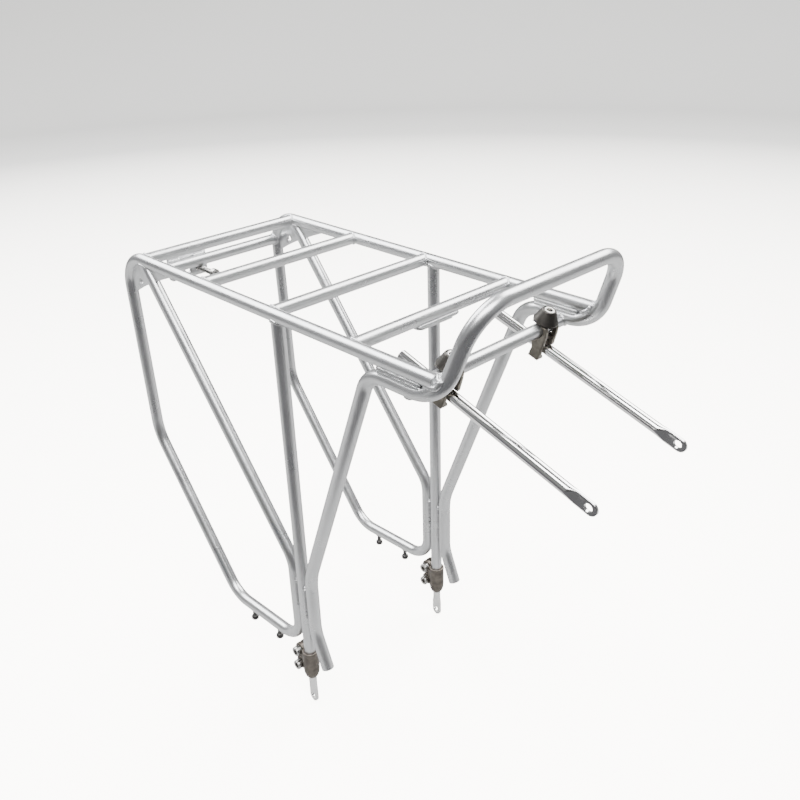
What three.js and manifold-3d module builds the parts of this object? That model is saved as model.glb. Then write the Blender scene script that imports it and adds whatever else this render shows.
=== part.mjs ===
// Rear rack for a bicycle: a welded tube frame with two pannier loops and a raised front hoop,
// two telescoping feet in pinch clamps, and two sliding stays in clamps on the front lower tube.
// Millimetres. +X forward, +Y left, +Z up. Origin midway between the two foot eyelet holes.

import * as THREE from 'three';
import { mergeVertices } from 'three/addons/utils/BufferGeometryUtils.js';
import Module from 'manifold-3d';

const wasm = await Module();
wasm.setup();

// ---------------------------------------------------------------- driving sizes

const DEG = Math.PI / 180;
const GAP = 0.3;                 // clearance left between pieces that touch

const DECK_Z = 357.5;            // axis height of the rails and crossbars
const HALF_WIDTH = 78;           // axis of the side tubes from the middle plane
const TUBE_R = 5;                // rails, loops, legs and crossbars
const HOOP_R = 5.25;             // hoop tube
const TUBE_SIDES = 12;
const ARC_STEP = 15 * DEG;       // turn between two rings of a bend

const RAIL_FRONT_X = 150;
const LOOP_FRONT_X = -(2 * TUBE_R + GAP + 0.4);
const LOOP_BOTTOM = { rear: [-104.7, 51.6], front: [LOOP_FRONT_X, 55.7] };
const DIAGONAL_FOOT = [LOOP_FRONT_X, 142];
const DIAGONAL_TOP = [-181.2, DECK_Z];
const CROSSBAR_X = { rear: -181, second: -94.7, third: -8, front: 76.6 };

const HOOP_Z = 345;              // axis of the hoop tube where it runs under the rail
const HOOP_LEG_X = TUBE_R + HOOP_R + GAP + 0.4;

const REAR_LOWER = { x: -209, z: 334 };
const FRONT_LOWER = { x: 127.7, z: 343 };

const LEG_BOTTOM_Z = 34.5;
const STRUT_R = 3.5;
const STRUT_TOP_Z = 95;
const STRUT_BORE_R = STRUT_R + GAP;
const LEG_BORE_TOP_Z = 106;

const STAY_R = 4;
const STAY_SLOPE = 17.8 * DEG;   // stays point forward and down at this angle
const STAY_DROP = 12.8;          // stay axis below the front lower tube's axis, square to the stay
const STAY_TAIL = 39;            // stay length behind its clamp
const STAY_HOLE_X = 121;         // from the clamp to the stay's eyelet hole
const STAY_Y = { right: -43, left: 55 };

const BOLT_R = 2.5;              // M5
const BOLT_HEAD_R = 4.25;
const BOLT_HEAD_HEIGHT = 5;
const BOLT_HOLE_R = 2.75;

// ---------------------------------------------------------------- materials

function metal(color, roughness, metalness) {
  return () => new THREE.MeshStandardMaterial({ color, roughness, metalness });
}

const silverPaint = metal(0xc8cacc, 0.42, 0.65);
const stainless = metal(0xdcdcda, 0.12, 1);
const castSteel = metal(0x6b6258, 0.55, 0.8);
const darkCast = metal(0x4a4540, 0.5, 0.8);
const boltSteel = metal(0x8c8a86, 0.3, 1);

// ---------------------------------------------------------------- solids and booleans

// Turns a closed three.js geometry into a manifold solid.
function solid(geometry) {
  const bare = geometry.clone();
  bare.deleteAttribute('normal');
  bare.deleteAttribute('uv');
  const merged = mergeVertices(bare, 1e-4);
  const index = merged.index.array;
  const faces = [];
  for (let i = 0; i < index.length; i += 3) {
    const [a, b, c] = [index[i], index[i + 1], index[i + 2]];
    if (a !== b && b !== c && a !== c) faces.push(a, b, c);
  }
  return new wasm.Manifold(new wasm.Mesh({
    numProp: 3,
    vertProperties: new Float32Array(merged.attributes.position.array),
    triVerts: new Uint32Array(faces),
  }));
}

// Turns a manifold solid back into a three.js geometry.
function geometryOf(manifold) {
  const mesh = manifold.getMesh();
  const geometry = new THREE.BufferGeometry();
  geometry.setAttribute('position', new THREE.BufferAttribute(mesh.vertProperties, 3));
  geometry.setIndex(new THREE.BufferAttribute(mesh.triVerts, 1));
  geometry.computeVertexNormals();
  return geometry;
}

function union(...solids) {
  return solids.reduce((whole, piece) => whole.add(piece));
}

function cut(body, ...tools) {
  return tools.reduce((rest, tool) => rest.subtract(tool), body);
}

// ---------------------------------------------------------------- basic shapes

function polygon(radius, sides) {
  const points = [];
  for (let i = 0; i < sides; i += 1) {
    const angle = (2 * Math.PI * i) / sides;
    points.push(new THREE.Vector2(radius * Math.cos(angle), radius * Math.sin(angle)));
  }
  return new THREE.Shape(points);
}

// A straight round bar between two points.
function bar(radius, from, to, sides = TUBE_SIDES) {
  const start = new THREE.Vector3(...from);
  const along = new THREE.Vector3(...to).sub(start);
  const geometry = new THREE.CylinderGeometry(radius, radius, along.length(), sides);
  geometry.translate(0, along.length() / 2, 0);
  const turn = new THREE.Quaternion();
  turn.setFromUnitVectors(new THREE.Vector3(0, 1, 0), along.clone().normalize());
  geometry.applyQuaternion(turn);
  geometry.translate(start.x, start.y, start.z);
  return geometry;
}

function block(low, high) {
  const geometry = new THREE.BoxGeometry(high[0] - low[0], high[1] - low[1], high[2] - low[2]);
  geometry.translate((low[0] + high[0]) / 2, (low[1] + high[1]) / 2, (low[2] + high[2]) / 2);
  return geometry;
}

// A turned shape about +Z from [radius, height] pairs, bottom to top on the outside.
function turned(profile, sides = 20) {
  const points = profile.map(([radius, height]) => new THREE.Vector2(radius, height));
  const geometry = new THREE.LatheGeometry(points, sides);
  geometry.rotateX(Math.PI / 2);
  return geometry;
}

// A plate with its outline in X and Z, centred on the plane y = middleY.
function plateXZ(shape, thickness, middleY = 0, curveSegments = 6) {
  const geometry = new THREE.ExtrudeGeometry(shape, {
    depth: thickness, bevelEnabled: false, curveSegments,
  });
  geometry.rotateX(Math.PI / 2);
  geometry.translate(0, middleY + thickness / 2, 0);
  return geometry;
}

// A plate with its outline in Y and Z, from x = backX forward.
function plateYZ(shape, thickness, backX, curveSegments = 6) {
  const geometry = new THREE.ExtrudeGeometry(shape, {
    depth: thickness, bevelEnabled: false, curveSegments,
  });
  geometry.rotateY(Math.PI / 2);
  geometry.rotateX(Math.PI / 2);
  geometry.translate(backX, 0, 0);
  return geometry;
}

function outline(pairs) {
  return new THREE.Shape(pairs.map(([a, b]) => new THREE.Vector2(a, b)));
}

function roundedRectangle(lowA, lowB, highA, highB, radius) {
  const shape = new THREE.Shape();
  shape.absarc(highA - radius, highB - radius, radius, 0, 90 * DEG);
  shape.absarc(lowA + radius, highB - radius, radius, 90 * DEG, 180 * DEG);
  shape.absarc(lowA + radius, lowB + radius, radius, 180 * DEG, 270 * DEG);
  shape.absarc(highA - radius, lowB + radius, radius, 270 * DEG, 360 * DEG);
  return shape;
}

// ---------------------------------------------------------------- bent tubes

// A tube's axis: straight runs between corners, each inner corner rounded to its bend radius.
// One ring of the tube sits at each end of a straight run and at even turns round each bend.
class BentPath extends THREE.Curve {
  constructor(corners, bendRadii) {
    super();
    const points = corners.map((corner) => new THREE.Vector3(...corner));
    this.rings = [];
    const last = points.length - 1;
    this.addRing(points[0], points[1].clone().sub(points[0]));
    for (let i = 1; i < last; i += 1) {
      this.addBend(points[i - 1], points[i], points[i + 1], bendRadii[i - 1]);
    }
    this.addRing(points[last], points[last].clone().sub(points[last - 1]));
  }

  addRing(point, direction) {
    this.rings.push({ point: point.clone(), tangent: direction.clone().normalize() });
  }

  addBend(before, corner, after, radius) {
    const into = corner.clone().sub(before).normalize();
    const out = after.clone().sub(corner).normalize();
    const turn = into.angleTo(out);
    const start = corner.clone().addScaledVector(into, -radius * Math.tan(turn / 2));
    const side = out.clone().addScaledVector(into, -into.dot(out)).normalize();
    const steps = Math.ceil(turn / ARC_STEP);
    for (let i = 0; i <= steps; i += 1) {
      const angle = (turn * i) / steps;
      const point = start.clone()
        .addScaledVector(into, radius * Math.sin(angle))
        .addScaledVector(side, radius * (1 - Math.cos(angle)));
      const tangent = into.clone().multiplyScalar(Math.cos(angle)).addScaledVector(side, Math.sin(angle));
      this.addRing(point, tangent);
    }
  }

  ringAt(u) {
    return this.rings[Math.round(u * (this.rings.length - 1))];
  }

  getPointAt(u, target = new THREE.Vector3()) {
    return target.copy(this.ringAt(u).point);
  }

  getTangentAt(u, target = new THREE.Vector3()) {
    return target.copy(this.ringAt(u).tangent);
  }
}

function bentTube(corners, bendRadii, radius, sides = TUBE_SIDES) {
  const path = new BentPath(corners, bendRadii);
  return new THREE.ExtrudeGeometry(polygon(radius, sides), {
    steps: path.rings.length - 1, extrudePath: path,
  });
}

// ---------------------------------------------------------------- side loop

// The rail, the rear tube, the bottom run and the diagonal are one tube bent into a loop.
// extraRadius gives the same loop fattened, to cut the clearance out of its neighbours.
function sideLoop(y, extraRadius = 0) {
  const radius = TUBE_R + extraRadius;
  const foot = new THREE.Vector2(...DIAGONAL_FOOT);
  const top = new THREE.Vector2(...DIAGONAL_TOP);
  const pointBelowTop = (distance) => {
    const point = top.clone().add(foot.clone().sub(top).setLength(distance));
    return [point.x, y, point.y];
  };
  const corners = [
    [RAIL_FRONT_X, y, DECK_Z],
    [-210, y, DECK_Z],
    [-205.8, y, 186],
    [LOOP_BOTTOM.rear[0], y, LOOP_BOTTOM.rear[1]],
    [LOOP_BOTTOM.front[0], y, LOOP_BOTTOM.front[1]],
    [DIAGONAL_FOOT[0], y, DIAGONAL_FOOT[1]],
    pointBelowTop(16),
  ];
  const bendRadii = [28, 40, 28, 24, 28];
  const tube = solid(bentTube(corners, bendRadii, radius));
  const stub = solid(bar(radius, pointBelowTop(22), pointBelowTop(0)));
  if (extraRadius > 0) return union(tube, stub);
  const saddle = solid(bar(TUBE_R + GAP, [-230, y, DECK_Z], [-120, y, DECK_Z], 24));
  return union(tube, cut(stub, saddle));
}

// ---------------------------------------------------------------- hoop

function hoop(extraRadius = 0) {
  const half = [
    [23.4, -HALF_WIDTH, 46.7],
    [HOOP_LEG_X, -HALF_WIDTH, 79.3],
    [HOOP_LEG_X, -HALF_WIDTH, 135.3],
    [93.3, -HALF_WIDTH, HOOP_Z],
    [154.5, -HALF_WIDTH, HOOP_Z],
    [177, -70.4, 407],
  ];
  const mirrored = half.map(([x, y, z]) => [x, -y, z]).reverse();
  const halfRadii = [40, 60, 21, 32, 28];
  const bendRadii = [...halfRadii, ...[...halfRadii].reverse()];
  return solid(bentTube([...half, ...mirrored], bendRadii, HOOP_R + extraRadius));
}

// ---------------------------------------------------------------- frame

const loopSpace = {
  right: sideLoop(-HALF_WIDTH, GAP),
  left: sideLoop(HALF_WIDTH, GAP),
};
const hoopSpace = hoop(GAP);

// A cross tube reaches both side tubes and is coped to them.
function crossTube(x, z, ...spaces) {
  const tube = solid(bar(TUBE_R, [x, -HALF_WIDTH, z], [x, HALF_WIDTH, z]));
  return cut(tube, ...spaces);
}

function mainLeg(y, loop) {
  const tube = solid(bar(TUBE_R, [0, y, LEG_BOTTOM_Z], [0, y, DECK_Z], 16));
  const bore = solid(bar(STRUT_BORE_R, [0, y, LEG_BOTTOM_Z - 5], [0, y, LEG_BORE_TOP_Z], 16));
  return cut(tube, bore, loop);
}

// The filler between the rail and the hoop tube that runs under it.
function tieStrip(y, loop) {
  const strip = solid(block([103, y - 2.8, HOOP_Z + 2], [134, y + 2.8, DECK_Z - 2]));
  return cut(strip, loop, hoopSpace);
}

// Sheet gussets fill the rear top corner on both sides of the diagonal.
const GUSSET_THICKNESS = 3;
const GUSSET_REAR = [-205, 323.2];
const GUSSET_MIDDLE = [-169.5, 340.5];
const GUSSET_FRONT = [-136, 353];

function rearGusset(y, loop) {
  const shape = new THREE.Shape();
  shape.moveTo(...GUSSET_REAR);
  shape.quadraticCurveTo(-186, 334.5, ...GUSSET_MIDDLE);
  shape.lineTo(...DIAGONAL_TOP);
  shape.lineTo(-202, DECK_Z - 3);
  shape.lineTo(-208, 345);
  const hole = solid(bar(2.6, [-188.2, y - 5, 338], [-188.2, y + 5, 338], 16));
  return cut(solid(plateXZ(shape, GUSSET_THICKNESS, y)), loop, hole);
}

function frontGusset(y, loop) {
  const shape = new THREE.Shape();
  shape.moveTo(...GUSSET_MIDDLE);
  shape.quadraticCurveTo(-152, 348, ...GUSSET_FRONT);
  shape.lineTo(GUSSET_FRONT[0], DECK_Z - 1);
  shape.lineTo(DIAGONAL_TOP[0] + 2, DECK_Z - 1);
  return cut(solid(plateXZ(shape, GUSSET_THICKNESS, y)), loop);
}

// A short peg with a round head under the loop's bottom run, for a strap or a pannier's hook.
// The bottom run climbs a little forwards, so a peg's top follows it.
function peg(x) {
  const [rearX, rearZ] = LOOP_BOTTOM.rear;
  const [frontX, frontZ] = LOOP_BOTTOM.front;
  const axisZ = rearZ + ((frontZ - rearZ) * (x - rearX)) / (frontX - rearX);
  const topZ = axisZ - TUBE_R - GAP;
  return turned([[0, topZ - 10.6], [2.4, topZ - 10.6], [3.4, topZ - 9.6], [3.4, topZ - 7],
    [2.6, topZ - 6.2], [1.8, topZ - 6], [1.8, topZ], [0, topZ]], 14);
}

// Plate for a rear light, welded behind the rear lower tube.
const LIGHT_PLATE = { backX: -217, thickness: 2.7, lowY: -38, highY: 1, lowZ: 319, highZ: 347 };
const LIGHT_HOLE_PITCH = 11;
const LIGHT_BOLT = { y: -8, z: 325.8, headX: -191 };

function lightPlate() {
  const { backX, thickness, lowY, highY, lowZ, highZ } = LIGHT_PLATE;
  const shape = roundedRectangle(lowY, lowZ, highY, highZ, 4);
  const holes = [0, 1, 2].map((index) => {
    const y = LIGHT_BOLT.y - index * LIGHT_HOLE_PITCH;
    return solid(bar(BOLT_HOLE_R, [backX - 3, y, LIGHT_BOLT.z], [backX + 6, y, LIGHT_BOLT.z], 16));
  });
  return cut(solid(plateYZ(shape, thickness, backX)), ...holes);
}

// Tab for a fender, under the front crossbar and reaching back from it.
const FENDER_TAB = { lowX: 59, highX: 79, halfY: 17.5, lowZ: 349.1, highZ: 352.1 };

function fenderTab() {
  const { lowX, highX, halfY, lowZ, highZ } = FENDER_TAB;
  const shape = roundedRectangle(lowX, -halfY, highX, halfY, 4);
  const plate = new THREE.ExtrudeGeometry(shape, {
    depth: highZ - lowZ, bevelEnabled: false, curveSegments: 4,
  });
  plate.translate(0, 0, lowZ);
  return cut(solid(plate), solid(bar(BOLT_HOLE_R, [65.5, 0, lowZ - 3], [65.5, 0, highZ + 3], 16)));
}

// ---------------------------------------------------------------- screws

// A socket-head cap screw along +Z: head from 0 up, shank from 0 down, hex socket in the top.
function capScrew(headRadius, headHeight, shankRadius, shankLength) {
  const edge = 0.4;
  const body = solid(turned([
    [0, -shankLength], [shankRadius - edge, -shankLength], [shankRadius, -shankLength + edge],
    [shankRadius, 0], [headRadius, 0], [headRadius, headHeight - edge],
    [headRadius - edge, headHeight], [0, headHeight],
  ], 20));
  const socketRadius = headRadius * 0.56;
  const socket = new THREE.CylinderGeometry(socketRadius, socketRadius, headHeight * 1.2, 6);
  socket.rotateX(Math.PI / 2);
  socket.translate(0, 0, headHeight);
  return cut(body, solid(socket));
}

// ---------------------------------------------------------------- leg clamp and foot

const CLAMP_BOLT_X = -9.2;
const CLAMP_BOLT_Z = [34, 49];
const EAR_HALF = 4;              // half the clamp's width across both ears
const LOBE_R = 6;

// Cast pinch clamp: a collar round the leg's end with two ear lobes behind it.
// It is modelled about the leg's axis.
function legClamp() {
  const collar = solid(turned([
    [0, 23], [4.6, 23], [5.6, 24.8], [6.5, 28.1], [7, 32.5], [7, 50.4], [6.4, 51.5], [0, 51.5],
  ], 24));
  const lobes = CLAMP_BOLT_Z.map((z) => (
    solid(bar(LOBE_R, [CLAMP_BOLT_X, -EAR_HALF, z], [CLAMP_BOLT_X, EAR_HALF, z], 20))));
  const neck = solid(block([CLAMP_BOLT_X + 1, -EAR_HALF, 29.5], [-3, EAR_HALF, 52]));
  const waist = solid(block([CLAMP_BOLT_X - 8, -EAR_HALF - 1, 40.6], [CLAMP_BOLT_X - 1.5, EAR_HALF + 1, 42.4]));
  const legSpace = solid(bar(TUBE_R + 0.25, [0, 0, LEG_BOTTOM_Z - GAP], [0, 0, 70], 24));
  const strutSpace = solid(bar(STRUT_BORE_R, [0, 0, 10], [0, 0, 70], 24));
  const slit = solid(block([-30, -0.9, 10], [-2, 0.9, 70]));
  const holes = CLAMP_BOLT_Z.map((z) => (
    solid(bar(BOLT_HOLE_R, [CLAMP_BOLT_X, -20, z], [CLAMP_BOLT_X, 20, z], 16))));
  const headSpaces = CLAMP_BOLT_Z.map((z) => (
    solid(bar(BOLT_HEAD_R + GAP, [CLAMP_BOLT_X, -20, z], [CLAMP_BOLT_X, -EAR_HALF, z], 20))));
  const cuts = [waist, legSpace, strutSpace, slit, ...holes, ...headSpaces];
  return cut(union(collar, ...lobes, neck), ...cuts);
}

// A round rod whose far end is pressed flat, with an eyelet hole across the flat.
// It runs along +X from 0; the flat faces are square to Y.
function flattenedRod({ radius, roundLength, neckLength, holeX, tipX, tabHalf, tabThickness, holeRadius }) {
  const tipStart = tipX - tabHalf;
  const sections = [
    { x: 0, wide: radius, thick: radius },
    { x: roundLength, wide: radius, thick: radius },
  ];
  for (const t of [0.25, 0.5, 0.75, 1]) {
    const ease = t * t * (3 - 2 * t);
    sections.push({
      x: roundLength + neckLength * t,
      wide: THREE.MathUtils.lerp(radius, tabHalf, ease),
      thick: THREE.MathUtils.lerp(radius, tabThickness / 2, ease),
    });
  }
  for (const angle of [0, 30, 55, 75]) {
    sections.push({
      x: tipStart + tabHalf * Math.sin(angle * DEG),
      wide: tabHalf * Math.cos(angle * DEG),
      thick: tabThickness / 2,
    });
  }
  const profile = [[0, 0], ...sections.map(({ x }) => [1, x]), [0, tipX]];
  const rod = turned(profile, 16);
  rod.rotateY(90 * DEG);
  const positions = rod.attributes.position;
  for (let i = 0; i < positions.count; i += 1) {
    const x = positions.getX(i);
    const section = sections.find((candidate) => Math.abs(candidate.x - x) < 1e-3);
    const across = positions.getY(i);
    const upright = positions.getZ(i);
    if (section && Math.hypot(across, upright) > 0.5) {
      positions.setY(i, THREE.MathUtils.clamp(across * radius, -section.thick, section.thick));
      positions.setZ(i, upright * section.wide);
    }
  }
  return cut(solid(rod), solid(bar(holeRadius, [holeX, -10, 0], [holeX, 10, 0], 18)));
}

// The foot's eyelet hole is at the origin and its rod runs up into the leg.
function footStrut() {
  const strut = flattenedRod({
    radius: STRUT_R, roundLength: STRUT_TOP_Z - 15.5, neckLength: 7, holeX: STRUT_TOP_Z,
    tipX: STRUT_TOP_Z + 7.6, tabHalf: 4.8, tabThickness: 3.2, holeRadius: 2.75,
  });
  return strut.rotate([0, 90, 0]).translate([0, 0, STRUT_TOP_Z]);
}

// ---------------------------------------------------------------- stay and stay clamp

// These are modelled about the front lower tube's axis, with +X along the stay,
// and are then turned down by the stay's slope.

const CHEEK_INNER = STAY_R + GAP;
const CHEEK_OUTER = 7.4;
const WEB_R = 6.4;
const WEB_TOP = 8.4;
const FOOT_TOP = -(STAY_DROP + STAY_R + GAP);

function stay() {
  const rod = flattenedRod({
    radius: STAY_R, roundLength: STAY_TAIL + STAY_HOLE_X - 17, neckLength: 9,
    holeX: STAY_TAIL + STAY_HOLE_X, tipX: STAY_TAIL + STAY_HOLE_X + 6.5,
    tabHalf: 5, tabThickness: 3, holeRadius: 2.9,
  });
  return rod.translate([-STAY_TAIL, 0, -STAY_DROP]);
}

// One cheek of the fork: it hooks over the front of the tube and hangs down beside the stay.
function cheek(lowY, highY, bottomZ) {
  const shape = outline([
    [-6.5, 5.2], [6.5, 5.2], [8, 3], [8.6, -1], [8.8, -9], [8.6, bottomZ],
    [0.4, bottomZ], [-0.4, -11], [-5.5, -7.8], [-6.8, -5.5], [-7.4, 3],
  ].reverse());
  return solid(plateXZ(shape, highY - lowY, (lowY + highY) / 2));
}

// The fork is the cast body: a web over the tube, a long cheek whose foot carries the stay,
// and a short cheek on the other side of the stay.
function clampFork() {
  const longCheek = cheek(-CHEEK_OUTER, -CHEEK_INNER, FOOT_TOP - 1);
  const shortCheek = cheek(CHEEK_INNER, CHEEK_OUTER, -11.5);
  const web = solid(bar(WEB_R, [0, 0, 3.5], [0, 0, WEB_TOP], 20));
  const footShape = outline([
    [-1.4, FOOT_TOP - 3.2], [-2.6, FOOT_TOP], [-CHEEK_INNER, FOOT_TOP], [-CHEEK_INNER, FOOT_TOP + 3],
    [-CHEEK_OUTER, FOOT_TOP + 3], [-CHEEK_OUTER - 1.4, FOOT_TOP - 3.2],
  ].reverse());
  const foot = solid(plateYZ(footShape, 9, 0));
  const tubeSpace = solid(bar(TUBE_R + 0.25, [0, -20, 0], [0, 20, 0], 24));
  const mouth = solid(block([-20, -20, -4.9], [0, 20, 4.9]));
  const thread = solid(bar(3.15, [0, 0, 0], [0, 0, 20], 20));
  return cut(union(longCheek, shortCheek, web, foot), tubeSpace, mouth, thread);
}

// A tapered cap over the fork's web, with a counterbore for the screw's head.
const CAP_BOTTOM = 5.6;
const CAP_TOP = 15.6;
const CAP_R = 8.9;
const HEAD_SEAT = 11.6;

function clampCap() {
  return solid(turned([
    [WEB_R + 0.4, CAP_BOTTOM], [CAP_R, CAP_BOTTOM], [CAP_R, CAP_BOTTOM + 1.6], [5.1, CAP_TOP - 0.4],
    [4.7, CAP_TOP], [4.2, CAP_TOP], [4.2, HEAD_SEAT], [3.3, HEAD_SEAT], [3.3, WEB_TOP + GAP],
    [WEB_R + 0.4, WEB_TOP + GAP], [WEB_R + 0.4, CAP_BOTTOM],
  ], 28));
}

function clampScrew() {
  const headZ = HEAD_SEAT + GAP;
  return capScrew(3.9, CAP_TOP - headZ, 2.9, headZ - TUBE_R - GAP).translate([0, 0, headZ]);
}

// A curved shim between the tube and the stay, concentric with the tube.
function clampShim() {
  const shape = new THREE.Shape();
  const half = 58 * DEG;
  shape.absarc(0, 0, STAY_DROP - STAY_R - GAP, -90 * DEG - half, -90 * DEG + half);
  shape.absarc(0, 0, TUBE_R + 0.25, -90 * DEG + half, -90 * DEG - half, true);
  return solid(plateXZ(shape, 2 * (CHEEK_INNER - GAP), 0, 8));
}

// ---------------------------------------------------------------- assembly

const rack = new THREE.Group();

function place(parent, name, manifold, material) {
  const mesh = new THREE.Mesh(geometryOf(manifold), material());
  mesh.name = name;
  parent.add(mesh);
  return mesh;
}

function groupAt(parent, x, y, z) {
  const group = new THREE.Group();
  group.position.set(x, y, z);
  parent.add(group);
  return group;
}

const allLoops = [loopSpace.right, loopSpace.left];

place(rack, 'hoop_tube', hoop(), silverPaint);
for (const [name, x] of Object.entries(CROSSBAR_X)) {
  place(rack, `crossbar_${name}`, crossTube(x, DECK_Z, ...allLoops), silverPaint);
}
place(rack, 'rear_lower_tube', crossTube(REAR_LOWER.x, REAR_LOWER.z, ...allLoops), silverPaint);
place(rack, 'front_lower_tube', crossTube(FRONT_LOWER.x, FRONT_LOWER.z, hoopSpace), silverPaint);
place(rack, 'light_plate', lightPlate(), silverPaint);
place(rack, 'fender_tab', fenderTab(), silverPaint);

const lightBolt = place(rack, 'light_bolt',
  capScrew(BOLT_HEAD_R, BOLT_HEAD_HEIGHT, BOLT_R, 29), boltSteel);
lightBolt.position.set(LIGHT_BOLT.headX, LIGHT_BOLT.y, LIGHT_BOLT.z);
lightBolt.rotation.y = 90 * DEG;

const PEG_X = { rear: -81, front: -43.5 };

for (const side of ['right', 'left']) {
  const y = side === 'right' ? -HALF_WIDTH : HALF_WIDTH;
  const space = loopSpace[side];

  place(rack, `side_loop_${side}`, cut(sideLoop(y), hoopSpace), silverPaint);
  place(rack, `main_leg_${side}`, mainLeg(y, space), silverPaint);
  place(rack, `tie_strip_${side}`, tieStrip(y, space), silverPaint);
  place(rack, `rear_gusset_${side}`, rearGusset(y, space), silverPaint);
  place(rack, `front_gusset_${side}`, frontGusset(y, space), silverPaint);
  for (const [end, x] of Object.entries(PEG_X)) {
    const pegGroup = groupAt(rack, x, y, 0);
    place(pegGroup, `peg_${end}_${side}`, solid(peg(x)), boltSteel);
  }

  const legGroup = groupAt(rack, 0, y, 0);
  place(legGroup, `leg_clamp_${side}`, legClamp(), castSteel);
  for (const [end, z] of [['lower', CLAMP_BOLT_Z[0]], ['upper', CLAMP_BOLT_Z[1]]]) {
    const screw = capScrew(BOLT_HEAD_R, BOLT_HEAD_HEIGHT, BOLT_R, 2 * EAR_HALF + GAP + 1.5);
    const bolt = place(legGroup, `leg_clamp_bolt_${end}_${side}`, screw, boltSteel);
    bolt.position.set(CLAMP_BOLT_X, -EAR_HALF - GAP, z);
    bolt.rotation.x = 90 * DEG;
  }
  place(legGroup, `foot_strut_${side}`, footStrut(), stainless);

  const clampGroup = groupAt(rack, FRONT_LOWER.x, STAY_Y[side], FRONT_LOWER.z);
  clampGroup.rotation.y = STAY_SLOPE;
  place(clampGroup, `stay_clamp_fork_${side}`, clampFork(), castSteel);
  place(clampGroup, `stay_clamp_cap_${side}`, clampCap(), darkCast);
  place(clampGroup, `stay_clamp_screw_${side}`, clampScrew(), boltSteel);
  place(clampGroup, `stay_clamp_shim_${side}`, clampShim(), castSteel);
  place(clampGroup, `stay_${side}`, stay(), stainless);
}

export default rack;
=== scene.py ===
"""Looks for the rear rack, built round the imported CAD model.

Smooth tubes, welds, castings and screws take the place of the faceted CAD solids.
Lengths are in millimetres until a mesh is made, and MM turns them into metres.
"""

import math

import bmesh
import bpy
from mathutils import Matrix, Vector, noise


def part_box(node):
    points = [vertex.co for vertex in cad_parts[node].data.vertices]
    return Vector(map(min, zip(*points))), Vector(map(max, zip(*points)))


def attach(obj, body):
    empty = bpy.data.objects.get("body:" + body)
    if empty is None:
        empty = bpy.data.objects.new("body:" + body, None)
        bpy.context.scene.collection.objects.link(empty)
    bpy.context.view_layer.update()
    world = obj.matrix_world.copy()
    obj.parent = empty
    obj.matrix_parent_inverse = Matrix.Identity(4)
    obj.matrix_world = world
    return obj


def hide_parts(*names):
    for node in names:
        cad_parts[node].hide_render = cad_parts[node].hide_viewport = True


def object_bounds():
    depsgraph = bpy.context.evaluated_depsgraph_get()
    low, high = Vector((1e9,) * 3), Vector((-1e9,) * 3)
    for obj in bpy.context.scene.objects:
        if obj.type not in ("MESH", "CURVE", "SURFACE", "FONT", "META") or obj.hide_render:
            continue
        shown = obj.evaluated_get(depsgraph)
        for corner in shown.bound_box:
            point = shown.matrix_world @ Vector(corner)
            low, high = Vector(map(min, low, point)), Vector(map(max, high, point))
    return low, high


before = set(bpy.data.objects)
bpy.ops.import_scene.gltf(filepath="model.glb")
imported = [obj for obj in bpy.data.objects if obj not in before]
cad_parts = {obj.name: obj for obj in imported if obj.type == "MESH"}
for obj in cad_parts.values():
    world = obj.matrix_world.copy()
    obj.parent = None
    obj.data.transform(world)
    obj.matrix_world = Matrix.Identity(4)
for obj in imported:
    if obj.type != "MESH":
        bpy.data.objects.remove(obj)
cad_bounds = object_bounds()

MM = 0.001
TAU = 2 * math.pi
SIDES = {"right": -1, "left": 1}


def node_box(node):
    """A node's lowest and highest corners, in millimetres."""
    low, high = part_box(node)
    return Vector(low) / MM, Vector(high) / MM


def middle(node):
    low, high = node_box(node)
    return (low + high) / 2


# ---------------------------------------------------------------- sizes taken from the frame

DECK = middle("crossbar_third").z
TUBE_R = (node_box("crossbar_third")[1].z - node_box("crossbar_third")[0].z) / 2
HALF_WIDTH = middle("main_leg_left").y
HOOP_R = node_box("hoop_tube")[1].y - HALF_WIDTH
CROSSBARS = [middle(f"crossbar_{name}").x for name in ("rear", "second", "third", "front")]
REAR_LOWER = middle("rear_lower_tube")
FRONT_LOWER = middle("front_lower_tube")
LEG_LOW = node_box("main_leg_left")[0].z

# ---------------------------------------------------------------- meshes


def finish_mesh(obj, material, body, replaced=(), smooth=40):
    """Gives a new piece its material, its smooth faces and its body."""
    obj.data.materials.clear()
    obj.data.materials.append(material)
    for polygon in obj.data.polygons:
        polygon.use_smooth = True
    bpy.context.view_layer.objects.active = obj
    with bpy.context.temp_override(object=obj, active_object=obj, selected_editable_objects=[obj]):
        bpy.ops.object.shade_smooth_by_angle(angle=math.radians(smooth))
    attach(obj, body)
    if replaced:
        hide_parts(*replaced)
    return obj


def new_object(name, vertices, faces):
    mesh = bpy.data.meshes.new(name)
    mesh.from_pydata([tuple(v * MM) for v in vertices], [], faces)
    mesh.validate()
    work = bmesh.new()
    work.from_mesh(mesh)
    bmesh.ops.remove_doubles(work, verts=work.verts, dist=1e-6)
    bmesh.ops.recalc_face_normals(work, faces=work.faces)
    work.to_mesh(mesh)
    work.free()
    obj = bpy.data.objects.new(name, mesh)
    bpy.context.scene.collection.objects.link(obj)
    return obj


def join(objects, name):
    """Joins meshes into one object, without booleans."""
    work = bmesh.new()
    for obj in objects:
        work.from_mesh(obj.data)
        bpy.data.objects.remove(obj)
    mesh = bpy.data.meshes.new(name)
    work.to_mesh(mesh)
    work.free()
    joined = bpy.data.objects.new(name, mesh)
    bpy.context.scene.collection.objects.link(joined)
    return joined


def applied(obj):
    """Makes an object's modifiers part of its mesh."""
    graph = bpy.context.evaluated_depsgraph_get()
    mesh = bpy.data.meshes.new_from_object(obj.evaluated_get(graph))
    obj.modifiers.clear()
    obj.data = mesh
    return obj


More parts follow.
